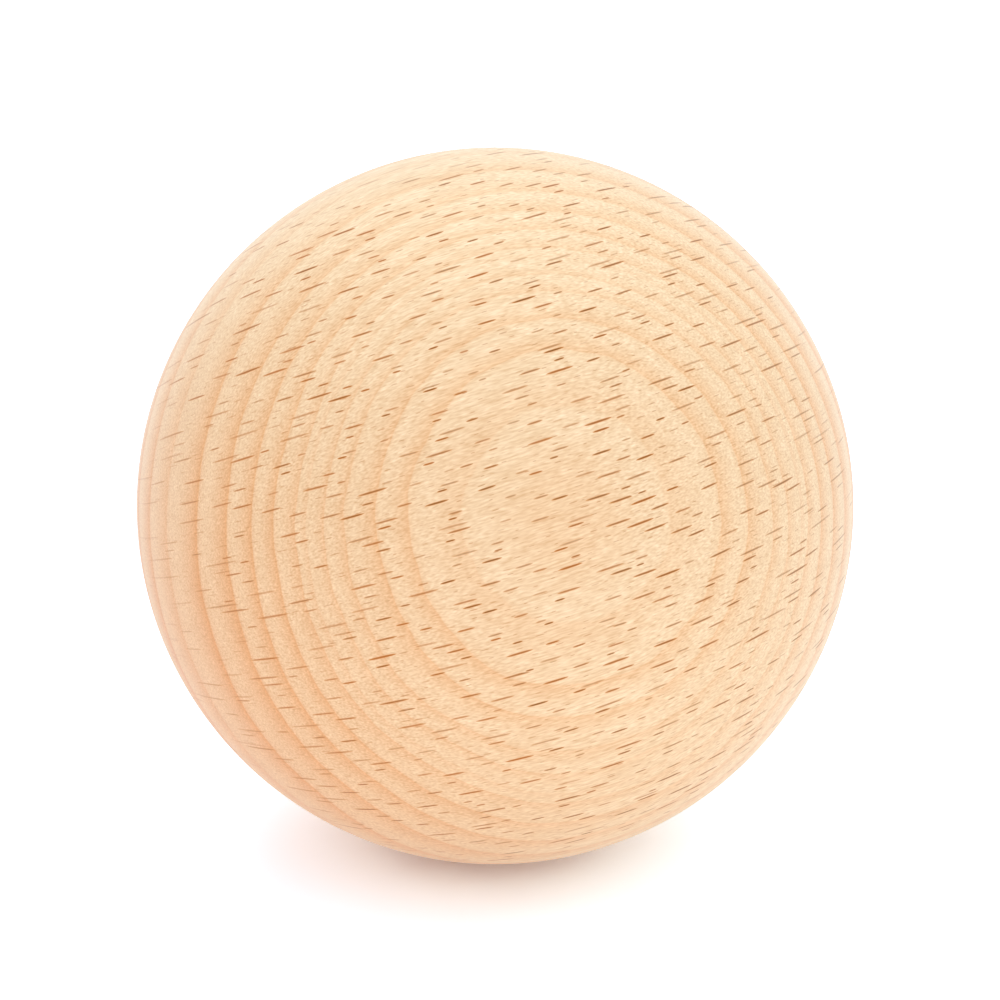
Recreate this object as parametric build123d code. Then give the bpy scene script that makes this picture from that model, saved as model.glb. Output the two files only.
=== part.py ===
from build123d import *
import os

# A plain wooden ball, turned from one solid block of beech and sanded smooth all over.
#
# Millimetres, +Z up, with the origin at the ball's centre. The wood is one piece: there is no core,
# bore, flat or seam. The lathe's axis is Z, so the half outline is drawn in the XZ plane beside that
# axis and spun a full turn round it.

PARTS_FOLDER = "parts"

# Driving dimension. Beech balls of this kind are sold at about 40, 70 and 100 mm.
ball_diameter = 70.0


def half_outline(diameter):
    """Half a disc that stands on the lathe's axis: its flat side is the axis, its round side the wood."""
    radius = diameter / 2
    round_side = CenterArc((0, 0), radius, start_angle=-90, arc_size=180)
    axis_side = Line(round_side @ 1, round_side @ 0)
    return Plane.XZ * make_face([round_side, axis_side])


def turned_ball(diameter):
    """The whole ball, as one solid."""
    ball = revolve(half_outline(diameter), axis=Axis.Z, revolution_arc=360)
    ball.label = "ball"
    return ball


os.makedirs(PARTS_FOLDER, exist_ok=True)
ball = turned_ball(ball_diameter)
export_step(ball, os.path.join(PARTS_FOLDER, f"{ball.label}.step"))
print("ball", ball.bounding_box().size, "volume", round(ball.volume, 1))
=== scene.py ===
import math

import bpy
from mathutils import Matrix, Vector


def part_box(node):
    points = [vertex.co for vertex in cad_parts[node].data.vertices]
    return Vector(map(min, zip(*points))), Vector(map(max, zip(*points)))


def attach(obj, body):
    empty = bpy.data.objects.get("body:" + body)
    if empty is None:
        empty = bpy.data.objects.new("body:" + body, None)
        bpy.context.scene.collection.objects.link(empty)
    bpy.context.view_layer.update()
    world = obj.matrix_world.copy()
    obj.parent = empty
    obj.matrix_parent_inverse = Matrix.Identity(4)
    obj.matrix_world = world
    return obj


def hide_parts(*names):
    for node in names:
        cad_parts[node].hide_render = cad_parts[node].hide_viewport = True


# A turned beech ball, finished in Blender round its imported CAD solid.
#
# The script is laid out as an add-on and run as a script. One operator turns the ball and gives it
# its wood, another sets the floor, the lamps and the camera. Lengths are metres unless a name ends
# in MM or PX. The frame is the CAD's: +Z up, the origin at the ball's centre, the viewer at -Y.

bl_info = {
    "name": "Beech Ball",
    "version": (1, 0, 0),
    "blender": (4, 5, 0),
    "location": "View3D > Sidebar > Beech Ball",
    "description": "Turns a beech ball from the solid and sets it on a white table",
    "category": "Object",
}

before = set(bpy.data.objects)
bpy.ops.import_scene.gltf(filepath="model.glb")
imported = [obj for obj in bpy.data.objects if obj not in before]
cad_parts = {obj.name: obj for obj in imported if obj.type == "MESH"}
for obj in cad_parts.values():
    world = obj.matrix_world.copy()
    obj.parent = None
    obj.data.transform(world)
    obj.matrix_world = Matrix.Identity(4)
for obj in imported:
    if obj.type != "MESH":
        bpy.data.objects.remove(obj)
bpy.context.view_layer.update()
BALL_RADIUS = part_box("ball")[1][2]
MM_PER_METRE = 1000
RADIUS_MM = BALL_RADIUS * MM_PER_METRE

# The square picture, and the ball's round outline in it
PICTURE_SIDE_PX = 1000
OUTLINE_CENTRE_X_PX = 495.1
OUTLINE_CENTRE_Y_PX = 505.7
OUTLINE_RADIUS_PX = 358.6

# Places in the wood are given as shares of the ball's radius: along the grain, across it, and out
# to the bark. The years' sheets lean, bow, sway and twist, so that the depth under the bark side
# falls from the ball's middle to its edge by these many millimetres. LEAN_MM goes with the three
# shares, BOW_MM with their squares and SWAY_MM with their cubes. TWIST_MM goes with the square of
# the first times the second, and the other way round, and CROSS_MM with the product of the two.
LEAN_MM = (3.24, -0.25, RADIUS_MM)
BOW_MM = (-0.33, 1.92, 0.0)
SWAY_MM = (0.83, -2.43, 0.0)
TWIST_MM = (-4.89, 0.74, 0.0)
CROSS_MM = 1.03

# Low on the ball the sheets also sag: from this share across the grain downwards, by this many
# millimetres times the square of the way past it, fading along the grain at this rate
SAG_START = -0.534
SAG_MM = 16.7
SAG_FADE = -0.9

# The sheets waver a little besides: how far, and how long a wave is
WAVER_MM = 0.8
WAVE_LENGTH_MM = 9

# The years, from the bark inwards: how deep the darkest line of each one lies, in millimetres, and
# how strongly its late wood shows
YEARS = (
    (1.3, 0.45), (3.35, 0.95), (4.9, 0.95), (6.8, 0.7), (8.15, 0.65), (9.6, 0.3), (10.4, 0.7),
    (12.5, 0.88), (15.0, 0.9), (18.1, 0.9), (22.7, 0.9), (28.9, 0.45), (34.0, 0.7), (39.5, 0.8),
    (44.5, 0.6), (50.5, 0.8), (56.0, 0.6), (62.0, 0.7), (68.0, 0.6), (75.0, 0.6),
)
DEEPEST_MM = YEARS[-1][0]

# How late the wood is from one dark line inwards to the next: it pales slowly and darkens fast
LATENESS = (
    (0.0, 1.0), (0.04, 0.88), (0.2, 0.58), (0.4, 0.26), (0.58, 0.04), (0.74, 0.0), (0.88, 0.12),
    (0.95, 0.4), (0.98, 1.0), (1.0, 1.0),
)

# How plainly the rings show: in the ball's middle, and what the share along the grain and its
# square add, because cut ends of fibres take the light differently
RINGS_SHOW = 0.5
RINGS_SHOW_ALONG = -0.13
RINGS_SHOW_AT_ENDS = 0.6

# The wood's colour is deepened toward one side, the lower left as the camera sees it, and paled toward
# the top and right. This is partly the wood's own uneven tone and partly painted light and shade: paler
# where the white room's veil and the lamps fall, and deeper where the ball lies in more shade. Given are
# the way there, how steeply it deepens at the end of that way, how much deeper both ends of the grain
# are than its flanks, and how much red, green and blue lose
SHADE_AND_TONE_WAY = (-0.8, -0.5, 0.0)
SHADE_AND_TONE_STEEP = 0.9
SHADE_AND_TONE_STEEP_POWER = 3.0
SHADE_AND_TONE_ENDS = (0.5, -0.6, 0.0)
SHADE_AND_TONE_LOSS = (0.04, 0.12, 0.17)

# The wood's figure, coarse to fine: noise cells to the millimetre along the grain, across it and
# out, the noise's detail, and how far it swings the colour. The finest strokes stand for the pores,
# which are only about 0.07 mm wide and are drawn twice as wide to show.
FIGURE = (
    ((0.07, 0.07, 0.07), 2.0, 0.05),
    ((0.1, 0.4, 0.4), 2.0, 0.12),
    ((0.18, 2.5, 2.5), 2.0, 0.16),
    ((0.45, 5.0, 5.0), 1.0, 0.54),
    ((1.4, 6.5, 6.5), 0.0, 0.36),
)
# How much of a swing falls on red, green and blue
FIGURE_COLOUR = (0.6, 1.0, 1.5)

# The broad rays, the small ones and the large: the cell that each stands in, along the grain and
# round the trunk, the least and the most of half its length and of half its width, all in
# millimetres, and how dark it gets
RAYS = (
    ((2.6, 0.8), (0.2, 0.55), (0.05, 0.08), 0.4),
    ((5.6, 0.95), (0.45, 1.6), (0.11, 0.152), 1.0),
)

# How far each row of rays is shifted along the grain from the last, and how far chance moves a ray,
# both in cells
STAGGER = 0.382
SCATTER = 0.78

# The rows of rays waver round the trunk: how far, and how long a wave is
ROW_WAVER_MM = 0.5
ROW_WAVE_LENGTH_MM = 14

# More rays are small than large, they keep their width nearly to their tips, and the palest is this
# share as dark as the darkest
SMALL_RAYS_POWER = 1.6
TIP_POWER = 4.0
PALEST_RAY = 0.35

# From a ray's skin inwards, where its edge colour fades in and where its core does
EDGE_SPAN = (0.0, 0.45)
CORE_SPAN = (0.3, 1.0)

# A ray's core is warm by chance, and warmer toward the side where the colour is deepened
WARM_ALONG = -0.8
WARM_LEAST = -0.12

# The rays are darkest where the surface faces the bark or the pith, and cuts them across. They fade
# as it turns from there, on the end grain, and where they lie flat in it.
BARK_SIDE_SPAN = (0.0, 0.4)
BARK_SIDE_FADE = 0.45
END_GRAIN_FADE = -0.8
END_GRAIN_POWER = 5.0
FLAT_SPAN = (0.92, 0.985)
FLAT_FADE = 0.25

# Bare wood, sanded fine: nearly matt, with the soft bloom of its cut fibres at a flat angle, and
# pores of this depth, rounded by the sanding to half their strength
SANDED = {"Roughness": 0.6, "IOR": 1.5, "Sheen Weight": 0.3, "Sheen Roughness": 0.4}
PORE_DEPTH_MM = 0.02
PORE_STRENGTH = 0.5

# The softboxes: name, degrees to the viewer's right, degrees up, side in metres, watts
SOFTBOXES = (
    ("key", 35, 45, 1.2, 1.4),
    ("low_front", 5, 6, 1.0, 3.5),
    ("top_back", 180, 62, 1.4, 7.5),
)
SOFTBOX_DISTANCE = 1.6

# The table's tint, which evens out the warm light off the ball. Close under the ball, where only
# these shares of the sky are open, a painted contact shadow darkens its white to these shares of red,
# green and blue, deeper than the shadow that the lamps and the room cast there.
TABLE_TINT = (0.83, 0.99, 1.2)
CONTACT_OPEN = (0.04, 0.17)
PAINTED_CONTACT_SHADOW = (0.72, 0.57, 0.56)


def linear(hex_colour):
    """An sRGB hex colour as the linear red, green, blue and alpha that a colour socket holds."""
    channels = [int(hex_colour[start:start + 2], 16) / 255 for start in (1, 3, 5)]
    return tuple(c / 12.92 if c <= 0.04045 else ((c + 0.055) / 1.055) ** 2.4 for c in channels) + (1.0,)


def grey(value):
    """A level of grey as an opaque colour."""
    return (value, value, value, 1.0)


def add(tree, kind, inputs=(), stops=(), **settings):
    """Adds a node, sets its settings and fills its inputs, by place or by name.

    Each input is a value or a socket, and a node stands for its first output. A colour ramp also
    takes its stops, each a position and a colour, of which the first stands at 0.
    """
    node = tree.nodes.new("ShaderNode" + kind)
    for name, value in settings.items():
        setattr(node, name, value)
    if stops:
        elements = node.color_ramp.elements
        elements.remove(elements[1])
        elements[0].color = stops[0][1]
        for position, colour in stops[1:]:
            elements.new(position).color = colour
    pairs = inputs.items() if isinstance(inputs, dict) else enumerate(inputs)
    for key, value in pairs:
        if isinstance(value, bpy.types.Node):
            value = value.outputs[0]
        if isinstance(value, bpy.types.NodeSocket):
            tree.links.new(value, node.inputs[key])
        else:
            node.inputs[key].default_value = value
    return node


def new_material(name):
    """A node material with nothing in it. Gives the material and its tree."""
    made = bpy.data.materials.new(name)
    made.use_nodes = True
    made.node_tree.nodes.clear()
    return made, made.node_tree


# The settings


class BallSettings(bpy.types.PropertyGroup):
    """The ball's size, the way its grain runs, and its colours."""

    radius: bpy.props.FloatProperty(
        name="Radius", description="Half the ball's diameter", default=BALL_RADIUS, unit="LENGTH",
    )
    splits: bpy.props.IntProperty(
        name="Splits", description="How often each side of the rough cube is split in four", default=6,
    )
    grain: bpy.props.FloatVectorProperty(
        name="Grain", description="The way the fibres run", default=(0.949, 0.202, 0.241),
        subtype="DIRECTION",
    )
    bark_side: bpy.props.FloatVectorProperty(
        name="Bark side", description="The way to the bark, at the eye of the year rings",
        default=(0.109, -0.931, 0.349), subtype="DIRECTION",
    )
    pith_distance: bpy.props.FloatProperty(
        name="Pith distance", description="How far the trunk's middle lies behind the ball's centre",
        default=0.12, unit="LENGTH",
    )
    pith_offset: bpy.props.FloatProperty(
        name="Pith offset", description="How far the trunk's middle lies above the ball's centre",
        default=0.0068, unit="LENGTH",
    )
    early_wood: bpy.props.FloatVectorProperty(
        name="Early wood", description="The pale wood of spring", default=linear("#f9d7ae"),
        size=4, subtype="COLOR",
    )
    late_wood: bpy.props.FloatVectorProperty(
        name="Late wood", description="The denser wood that ends a year", default=linear("#efb277"),
        size=4, subtype="COLOR",
    )
    ray_core: bpy.props.FloatVectorProperty(
        name="Ray core", description="The dark middle of a broad ray", default=linear("#573606"),
        size=4, subtype="COLOR",
    )
    ray_warm: bpy.props.FloatVectorProperty(
        name="Warm ray core", description="The middle of a ray that shows orange",
        default=linear("#a85812"), size=4, subtype="COLOR",
    )
    ray_edge: bpy.props.FloatVectorProperty(
        name="Ray edge", description="The thin tips and sides of a ray", default=linear("#d6842a"),
        size=4, subtype="COLOR",
    )


class StageSettings(bpy.types.PropertyGroup):
    """The table, the lamps and the camera."""

    table_size: bpy.props.FloatProperty(
        name="Table size", description="The side of the square table", default=14.0, unit="LENGTH",
    )
    table_white: bpy.props.FloatProperty(
        name="Table white", description="How much of the light the table gives back to the ball",
        default=0.9,
    )
    table_seen: bpy.props.FloatProperty(
        name="Table seen", description="How white the camera sees the lit table", default=1.66,
    )
    table_glow: bpy.props.FloatProperty(
        name="Table glow", description="How brightly the table shines up at the ball", default=0.15,
    )
    sky_light: bpy.props.FloatProperty(
        name="Sky light", description="How brightly the white room lights the ball", default=0.765,
    )
    camera_distance: bpy.props.FloatProperty(
        name="Camera distance", description="From the ball's centre", default=30 * BALL_RADIUS,
        unit="LENGTH",
    )
    camera_height: bpy.props.FloatProperty(
        name="Camera height", description="Angle above the horizon", default=math.radians(23),
        subtype="ANGLE", unit="ROTATION",
    )


# The wood


def wood_place(tree, settings):
    """The place in the wood, in millimetres: along the grain, across it, and out to the bark."""
    along = Vector(settings.grain).normalized()
    bark = Vector(settings.bark_side)
    out = (bark - bark.dot(along) * along).normalized()
    turn = Matrix((along, out.cross(along), out)).to_euler()
    ball_place = add(tree, "TexCoord").outputs["Object"]
    return add(tree, "Mapping", {"Vector": ball_place, "Rotation": turn, "Scale": (MM_PER_METRE,) * 3})


def year_depth(tree, share):
    """How deep a point lies under the bark side, in millimetres.

    The trunk's middle is far away, so the years are nearly flat sheets. They lean, bow and sway a
    little, which makes their rings on the ball egg-shaped.
    """
    parts = add(tree, "SeparateXYZ", (share,))
    along, across = parts.outputs["X"], parts.outputs["Y"]
    squares = add(tree, "VectorMath", (share, share), operation="MULTIPLY")
    cubes = add(tree, "VectorMath", (squares, share), operation="MULTIPLY")
    swapped = add(tree, "CombineXYZ", (across, along, 0.0))
    mixed = add(tree, "VectorMath", (squares, swapped), operation="MULTIPLY")
    falls = [
        add(tree, "VectorMath", (vector, factors), operation="DOT_PRODUCT").outputs["Value"]
        for vector, factors in ((share, LEAN_MM), (squares, BOW_MM), (cubes, SWAY_MM), (mixed, TWIST_MM))
    ]

    cross = add(tree, "Math", (along, across), operation="MULTIPLY")
    below = add(tree, "Math", (SAG_START, across), operation="SUBTRACT", use_clamp=True)
    below = add(tree, "Math", (below, 2.0), operation="POWER")
    fade = add(tree, "Math", (along, SAG_FADE), operation="MULTIPLY")
    fade = add(tree, "Math", (fade,), operation="EXPONENT")
    sag = add(tree, "Math", (below, fade), operation="MULTIPLY")
    falls.append(add(tree, "Math", (cross, CROSS_MM), operation="MULTIPLY"))
    falls.append(add(tree, "Math", (sag, SAG_MM), operation="MULTIPLY"))

    depth = RADIUS_MM
    for fall in falls:
        depth = add(tree, "Math", (depth, fall), operation="SUBTRACT")
    return depth


def year_rings(tree, place, share):
    """How much late wood shows at a point, from 0 to 1.

    A ramp turns the depth into a count of years, in its red, and into how strongly the late wood
    shows there, in its green.
    """
    waver = add(tree, "TexNoise", {"Vector": place, "Scale": 1 / WAVE_LENGTH_MM, "Detail": 3.0})
    depth = add(tree, "Math", (waver, WAVER_MM, year_depth(tree, share)), operation="MULTIPLY_ADD")
    depth = add(tree, "Math", (depth, WAVER_MM / 2), operation="SUBTRACT")
    counts = [(0.0, (0.0, YEARS[0][1], 0.0, 1.0))]
    for number, (end, strength) in enumerate(YEARS, start=1):
        counts.append((end / DEEPEST_MM, (number / len(YEARS), strength, 0.0, 1.0)))
    depth_share = add(tree, "Math", (depth, DEEPEST_MM), operation="DIVIDE")
    counted = add(tree, "ValToRGB", (depth_share,), stops=counts)
    counted = add(tree, "SeparateColor", (counted,))
    count = add(tree, "Math", (counted.outputs["Red"], float(len(YEARS))), operation="MULTIPLY")
    phase = add(tree, "Math", (count,), operation="FRACT")
    greys = [(position, grey(value)) for position, value in LATENESS]
    lateness = add(tree, "ValToRGB", (phase,), stops=greys)
    return add(tree, "Math", (lateness, counted.outputs["Green"]), operation="MULTIPLY")


def painted_shade_and_tone(tree, share):
    """How much deeper in colour a point is than the ball's middle: the wood's own tone with painted shade,
    and painted light where it is below 0.
    """
    straight = add(tree, "VectorMath", (share, SHADE_AND_TONE_WAY), operation="DOT_PRODUCT").outputs["Value"]
    squares = add(tree, "VectorMath", (share, share), operation="MULTIPLY")
    ends = add(tree, "VectorMath", (squares, SHADE_AND_TONE_ENDS), operation="DOT_PRODUCT").outputs["Value"]
    toward = add(tree, "Math", (straight, 0.0), operation="MAXIMUM")
    steep = add(tree, "Math", (toward, SHADE_AND_TONE_STEEP_POWER), operation="POWER")
    deeper = add(tree, "Math", (straight, ends), operation="ADD")
    return add(tree, "Math", (steep, SHADE_AND_TONE_STEEP, deeper), operation="MULTIPLY_ADD")


def ringed_wood(tree, settings, place, share):
    """The wood's colour with its year rings, deeper toward one side and paler toward the other: partly its
    own tone, partly painted light and shade.
    """
    along = add(tree, "SeparateXYZ", (share,)).outputs["X"]
    show = add(tree, "Math", (along, RINGS_SHOW_AT_ENDS, RINGS_SHOW_ALONG), operation="MULTIPLY_ADD")
    show = add(tree, "Math", (show, along, RINGS_SHOW), operation="MULTIPLY_ADD")
    late = add(tree, "Math", (year_rings(tree, place, share), show), operation="MULTIPLY")
    wood = add(
        tree, "Mix", {"Factor": late, "A": settings.early_wood, "B": settings.late_wood}, data_type="RGBA",
    )
    # Painted light and shade over the wood's own tone: deeper toward one side, paler toward the other
    loss = [-each for each in SHADE_AND_TONE_LOSS]
    kept = add(
        tree, "VectorMath", (painted_shade_and_tone(tree, share), loss, (1.0, 1.0, 1.0)), operation="MULTIPLY_ADD",
    )
    return add(tree, "VectorMath", (wood.outputs["Result"], kept), operation="MULTIPLY")


def figured_wood(tree, wood, place):
    """Swings the wood's colour by each layer of its figure. Gives the colour and the finest layer."""
    for cells_per_mm, detail, swing in FIGURE:
        figure_place = add(tree, "VectorMath", (place, cells_per_mm), operation="MULTIPLY")
        figure = add(tree, "TexNoise", {"Vector": figure_place, "Scale": 1.0, "Detail": detail})
        swings = [swing * each for each in FIGURE_COLOUR]
        lows = [1 - each / 2 for each in swings]
        shade = add(tree, "VectorMath", (figure, swings, lows), operation="MULTIPLY_ADD")
        wood = add(tree, "VectorMath", (wood, shade), operation="MULTIPLY")
    return wood, figure


def bearing(tree, place, settings):
    """How far round the trunk a point lies, in millimetres at the depth of the bark."""
    parts = add(tree, "SeparateXYZ", (place,))
    pith_mm = settings.pith_distance * MM_PER_METRE
    side = add(tree, "Math", (parts.outputs["Y"], settings.pith_offset * MM_PER_METRE), operation="SUBTRACT")
    height = add(tree, "Math", (parts.outputs["Z"], pith_mm), operation="ADD")
    angle = add(tree, "Math", (side, height), operation="ARCTAN2")
    waver = add(tree, "TexNoise", {"Vector": place, "Scale": 1 / ROW_WAVE_LENGTH_MM, "Detail": 1.0})
    waver_mm = add(tree, "Math", (waver, ROW_WAVER_MM), operation="MULTIPLY")
    return add(tree, "Math", (angle, RADIUS_MM + pith_mm, waver_mm), operation="MULTIPLY_ADD")


def ray_blades(tree, along, around, cell_mm, half_length_mm, half_width_mm):
    """Thin upright blades that run from the pith to the bark, one to a cell, and end as dashes.

    The cells are marked out along the grain and round the trunk. Gives how far inside a blade a
    point is, from 0 at its skin to 1 in its middle, and the random colour of its cell.
    """
    cell_length, cell_width = cell_mm
    row = add(tree, "Math", (around, cell_width), operation="DIVIDE")
    column = add(tree, "Math", (along, cell_length), operation="DIVIDE")
    column = add(tree, "Math", (row, STAGGER, column), operation="MULTIPLY_ADD")
    cells = add(tree, "CombineXYZ", (column, row, 0.0))
    blades = add(
        tree, "TexVoronoi", {"Vector": cells, "Scale": 1.0, "Randomness": SCATTER},
        voronoi_dimensions="2D",
    )
    off_middle = add(tree, "VectorMath", (cells, blades.outputs["Position"]), operation="SUBTRACT")
    off = add(tree, "SeparateXYZ", (off_middle,))
    off_along = add(tree, "Math", (off.outputs["Y"], -STAGGER, off.outputs["X"]), operation="MULTIPLY_ADD")
    off_along = add(tree, "Math", (off_along, cell_length), operation="MULTIPLY")
    off_side = add(tree, "Math", (off.outputs["Y"], cell_width), operation="MULTIPLY")
    off_side = add(tree, "Math", (off_side,), operation="ABSOLUTE")

    chance = add(tree, "SeparateColor", (blades.outputs["Color"],))
    size = add(tree, "Math", (chance.outputs["Red"], SMALL_RAYS_POWER), operation="POWER")
    half_length, half_width = (
        add(tree, "MapRange", {"Value": size, "To Min": least, "To Max": most})
        for least, most in (half_length_mm, half_width_mm)
    )
    reach = add(tree, "Math", (off_along, half_length), operation="DIVIDE")
    reach = add(tree, "Math", (reach, TIP_POWER), operation="POWER")
    taper = add(tree, "Math", (1.0, reach), operation="SUBTRACT")
    side = add(tree, "Math", (off_side, half_width), operation="DIVIDE")
    inside = add(tree, "Math", (taper, side), operation="SUBTRACT", use_clamp=True)
    return inside, chance


def ray_fading(tree, share):
    """How plainly the rays show at a point, from 0 to 1, by the way that the surface cuts them."""
    size = add(tree, "VectorMath", (share,), operation="ABSOLUTE")
    sizes = add(tree, "SeparateXYZ", (size,))
    bark_side = add(
        tree, "MapRange",
        {
            "Value": sizes.outputs["Z"], "From Min": BARK_SIDE_SPAN[0], "From Max": BARK_SIDE_SPAN[1],
            "To Min": BARK_SIDE_FADE, "To Max": 1.0,
        },
    )
    end_grain = add(tree, "Math", (sizes.outputs["X"], END_GRAIN_POWER), operation="POWER")
    end_grain = add(tree, "Math", (end_grain, END_GRAIN_FADE, 1.0), operation="MULTIPLY_ADD")
    flat = add(
        tree, "MapRange",
        {
            "Value": sizes.outputs["Y"], "From Min": FLAT_SPAN[0], "From Max": FLAT_SPAN[1],
            "To Min": 1.0, "To Max": FLAT_FADE,
        },
    )
    fading = add(tree, "Math", (bark_side, end_grain), operation="MULTIPLY")
    return add(tree, "Math", (fading, flat), operation="MULTIPLY")


def rayed_wood(tree, settings, wood, place, share):
    """Draws the broad rays over the wood, each with a warm edge and a darker core."""
    parts = add(tree, "SeparateXYZ", (place,))
    along_share = add(tree, "SeparateXYZ", (share,)).outputs["X"]
    around = bearing(tree, place, settings)
    fading = ray_fading(tree, share)
    for cell_mm, half_length_mm, half_width_mm, darkness in RAYS:
        inside, chance = ray_blades(
            tree, parts.outputs["X"], around, cell_mm, half_length_mm, half_width_mm,
        )
        strength = add(
            tree, "MapRange",
            {"Value": chance.outputs["Green"], "To Min": PALEST_RAY * darkness, "To Max": darkness},
        )
        strength = add(tree, "Math", (strength, fading), operation="MULTIPLY")
        warm = add(tree, "Math", (chance.outputs["Blue"], WARM_LEAST), operation="ADD")
        warm = add(
            tree, "Math", (along_share, WARM_ALONG, warm), operation="MULTIPLY_ADD", use_clamp=True,
        )
        core = add(
            tree, "Mix", {"Factor": warm, "A": settings.ray_core, "B": settings.ray_warm}, data_type="RGBA",
        )
        for (start, end), colour in ((EDGE_SPAN, settings.ray_edge), (CORE_SPAN, core.outputs["Result"])):
            drawn = add(
                tree, "MapRange", {"Value": inside, "From Min": start, "From Max": end},
                interpolation_type="SMOOTHSTEP",
            )
            factor = add(tree, "Math", (drawn, strength), operation="MULTIPLY")
            mixed = add(tree, "Mix", {"Factor": factor, "A": wood, "B": colour}, data_type="RGBA")
            wood = mixed.outputs["Result"]
    return wood


def turned_beech(settings):
    """Beech, turned on a lathe, sanded fine and left without a finish.

    It gives the eye a warm cream wood with faint orange year rings, sprinkled all over with short
    brown dashes, which are the ends of the broad rays, and a soft matt surface.
    """
    made, tree = new_material("turned_sanded_beech")
    place = wood_place(tree, settings)
    share = add(tree, "VectorMath", (place, (1 / RADIUS_MM,) * 3), operation="MULTIPLY")
    wood = ringed_wood(tree, settings, place, share)
    wood, pores = figured_wood(tree, wood, place)
    wood = rayed_wood(tree, settings, wood, place, share)
    pore_depth = PORE_DEPTH_MM / MM_PER_METRE
    relief = add(tree, "Bump", {"Height": pores, "Distance": pore_depth, "Strength": PORE_STRENGTH})
    shader = add(tree, "BsdfPrincipled", {"Base Color": wood, "Normal": relief, **SANDED})
    add(tree, "OutputMaterial", (shader,))
    return made


# The ball


def cube_sides_to_sheet(ball):
    """Lays the six sides of the cube on the texture sheet, three by two, with a gap between them.

    The sides that show the rays end-on have their finer direction across the grain.
    """
    columns, rows, gap = 3, 2, 0.006
    mesh = ball.data
    mesh.uv_layers[0].name = "OFBake"
    sheet = mesh.uv_layers[0].data
    for side in mesh.polygons:
        up = Vector((0, 0, 1)) if abs(side.normal.z) < 0.5 else Vector((0, 1, 0))
        right = up.cross(side.normal)
        column, row = side.index % columns, side.index // columns
        for loop in side.loop_indices:
            corner = mesh.vertices[mesh.loops[loop].vertex_index].co
            u = gap if corner.dot(right) < 0 else 1 / columns - gap
            v = gap if corner.dot(up) < 0 else 1 / rows - gap
            sheet[loop].uv = (column / columns + u, row / rows + v)


def turned_ball(settings):
    """The ball, brought round from a cube: each split is pushed out to the sphere before the next.

    That spreads the faces evenly, with no pinched poles.
    """
    bpy.ops.object.select_all(action="DESELECT")
    bpy.ops.mesh.primitive_cube_add(size=2 * settings.radius)
    ball = bpy.context.object
    ball.name = "ball_of_beech"
    cube_sides_to_sheet(ball)
    for _ in range(settings.splits):
        bpy.ops.object.mode_set(mode="EDIT")
        bpy.ops.mesh.select_all(action="SELECT")
        bpy.ops.mesh.subdivide()
        bpy.ops.object.mode_set(mode="OBJECT")
        rounding = ball.modifiers.new("Rounding", "CAST")
        rounding.factor = 1.0
        rounding.use_radius_as_size = False
        rounding.size = settings.radius
        bpy.ops.object.modifier_apply(modifier=rounding.name)
    bpy.ops.object.shade_smooth()
    return ball


class OBJECT_OT_turn_beech_ball(bpy.types.Operator):
    """Turns the ball and gives it its wood"""

    bl_idname = "object.turn_beech_ball"
    bl_label = "Turn the Ball"
    bl_options = {"REGISTER", "UNDO"}

    def execute(self, context):
        settings = context.scene.beech_ball
        ball = turned_ball(settings)
        ball.data.materials.append(turned_beech(settings))
        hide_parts("ball")
        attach(ball, "root")
        return {"FINISHED"}


# The stage


def seen_or_mirrored(tree):
    """1 where the camera sees a thing, straight or in a gloss or a glass, and 0 where it only lights."""
    path = add(tree, "LightPath")
    seen = add(tree, "Math", (path.outputs["Is Camera Ray"], path.outputs["Is Glossy Ray"]), operation="ADD")
    return add(tree, "Math", (seen, path.outputs["Is Transmission Ray"]), operation="ADD", use_clamp=True)


def white_table(settings):
    """A light table of matt white plastic, as wide as the room and softly lit from inside.

    It gives the eye a plain white that keeps the ball's shadow, with a painted shadow added close under
    the ball, where little of the sky is open, so that it is darkest where the ball touches it.
    The camera sees it brighter than it lights the ball, so that it runs into the white behind.
    """
    made, tree = new_material("matt_white_table")
    seen = seen_or_mirrored(tree)
    open_white = [share * settings.table_seen for share in TABLE_TINT] + [1.0]
    painted_shadow_white = [white * share for white, share in zip(open_white, PAINTED_CONTACT_SHADOW)] + [1.0]
    # Painted contact shadow: the seen white darkens where little of the sky is open, close under the ball
    sky = add(tree, "AmbientOcclusion", {"Distance": 2 * BALL_RADIUS})
    openness = add(
        tree, "MapRange",
        {"Value": sky.outputs["AO"], "From Min": CONTACT_OPEN[0], "From Max": CONTACT_OPEN[1]},
    )
    top = add(tree, "Mix", {"Factor": openness, "A": painted_shadow_white, "B": open_white}, data_type="RGBA")
    white = add(
        tree, "Mix",
        {"Factor": seen, "A": grey(settings.table_white), "B": top.outputs["Result"]},
        data_type="RGBA",
    )
    surface = add(tree, "BsdfDiffuse", {"Color": white.outputs["Result"]})
    glow = add(tree, "Math", (seen, -settings.table_glow, settings.table_glow), operation="MULTIPLY_ADD")
    lit_through = add(tree, "Emission", {"Color": grey(1.0), "Strength": glow})
    lit_surface = add(tree, "AddShader", (surface, lit_through))
    add(tree, "OutputMaterial", (lit_surface,))
    return made


def white_room(settings):
    """A white world: pure white where it is seen or mirrored, softer where it lights the wood."""
    world = bpy.data.worlds.new("white_room")
    world.use_nodes = True
    tree = world.node_tree
    tree.nodes.clear()
    seen = seen_or_mirrored(tree)
    strength = add(
        tree, "Math", (seen, 1 - settings.sky_light, settings.sky_light), operation="MULTIPLY_ADD",
    )
    background = add(tree, "Background", (grey(1.0), strength))
    add(tree, "OutputWorld", (background,))
    return world


def from_ball(right_degrees, up_degrees, distance):
    """The point at this bearing from the ball's centre, as the viewer sees it."""
    right, up = math.radians(right_degrees), math.radians(up_degrees)
    return distance * Vector((math.sin(right) * math.cos(up), -math.cos(right) * math.cos(up), math.sin(up)))


def aim_at_ball(place):
    """The turn that points a lamp or a camera from this place at the ball's centre."""
    return (-place).to_track_quat("-Z", "Y").to_euler()


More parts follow.
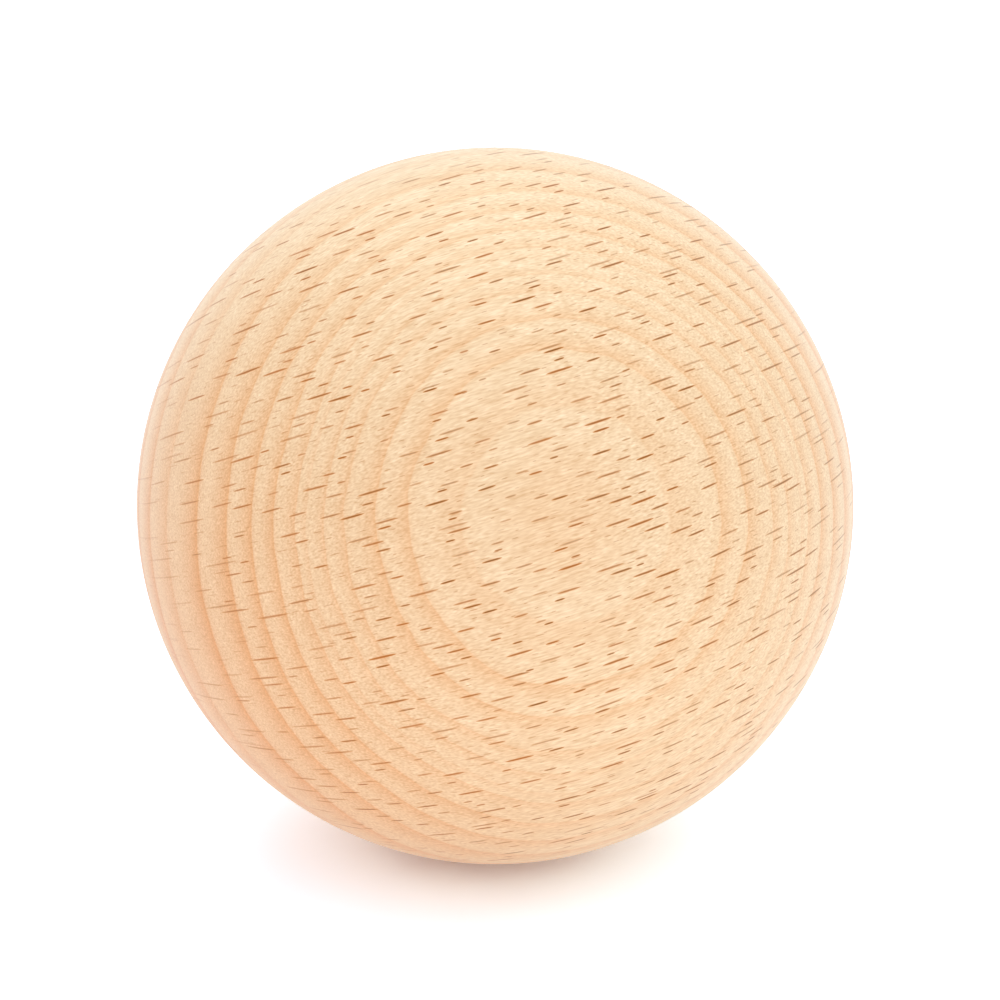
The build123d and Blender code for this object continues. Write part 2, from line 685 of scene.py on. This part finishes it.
class SCENE_OT_set_white_stage(bpy.types.Operator):
    """Sets the table, the white room, the softboxes and the camera"""

    bl_idname = "scene.set_white_stage"
    bl_label = "Set the Stage"
    bl_options = {"REGISTER", "UNDO"}

    def execute(self, context):
        scene = context.scene
        settings = scene.beech_stage

        bpy.ops.mesh.primitive_plane_add(size=settings.table_size, location=(0, 0, -BALL_RADIUS))
        floor = context.object
        floor.name = "floor"
        floor.data.materials.append(white_table(settings))

        scene.world = white_room(settings)
        for name, right_degrees, up_degrees, side, watts in SOFTBOXES:
            place = from_ball(right_degrees, up_degrees, SOFTBOX_DISTANCE)
            bpy.ops.object.light_add(type="AREA", location=place, rotation=aim_at_ball(place))
            lamp = context.object
            lamp.name = name
            lamp.data.size = side
            lamp.data.energy = watts
            lamp.visible_camera = False

        # A long lens, far back, whose picture of the ball is as wide as in the photograph
        place = from_ball(0, math.degrees(settings.camera_height), settings.camera_distance)
        bpy.ops.object.camera_add(location=place, rotation=aim_at_ball(place))
        scene.camera = context.object
        camera = scene.camera.data
        half_angle = math.asin(BALL_RADIUS / settings.camera_distance)
        camera.lens = camera.sensor_width * OUTLINE_RADIUS_PX / math.tan(half_angle) / PICTURE_SIDE_PX
        camera.shift_x = 0.5 - OUTLINE_CENTRE_X_PX / PICTURE_SIDE_PX
        camera.shift_y = OUTLINE_CENTRE_Y_PX / PICTURE_SIDE_PX - 0.5

        scene.view_settings.view_transform = "Standard"
        return {"FINISHED"}


# The add-on


class VIEW3D_PT_beech_ball(bpy.types.Panel):
    """Lists the ball's operators"""

    bl_label = "Beech Ball"
    bl_space_type = "VIEW_3D"
    bl_region_type = "UI"
    bl_category = "Beech Ball"

    def draw(self, context):
        self.layout.operator(OBJECT_OT_turn_beech_ball.bl_idname)
        self.layout.operator(SCENE_OT_set_white_stage.bl_idname)


CLASSES = (
    BallSettings,
    StageSettings,
    OBJECT_OT_turn_beech_ball,
    SCENE_OT_set_white_stage,
    VIEW3D_PT_beech_ball,
)


def register():
    for cls in CLASSES:
        bpy.utils.register_class(cls)
    bpy.types.Scene.beech_ball = bpy.props.PointerProperty(type=BallSettings)
    bpy.types.Scene.beech_stage = bpy.props.PointerProperty(type=StageSettings)


def unregister():
    del bpy.types.Scene.beech_stage
    del bpy.types.Scene.beech_ball
    for cls in reversed(CLASSES):
        bpy.utils.unregister_class(cls)


def main():
    """Builds the whole scene."""
    register()
    bpy.ops.object.turn_beech_ball()
    bpy.ops.scene.set_white_stage()


if __name__ == "__main__":
    main()
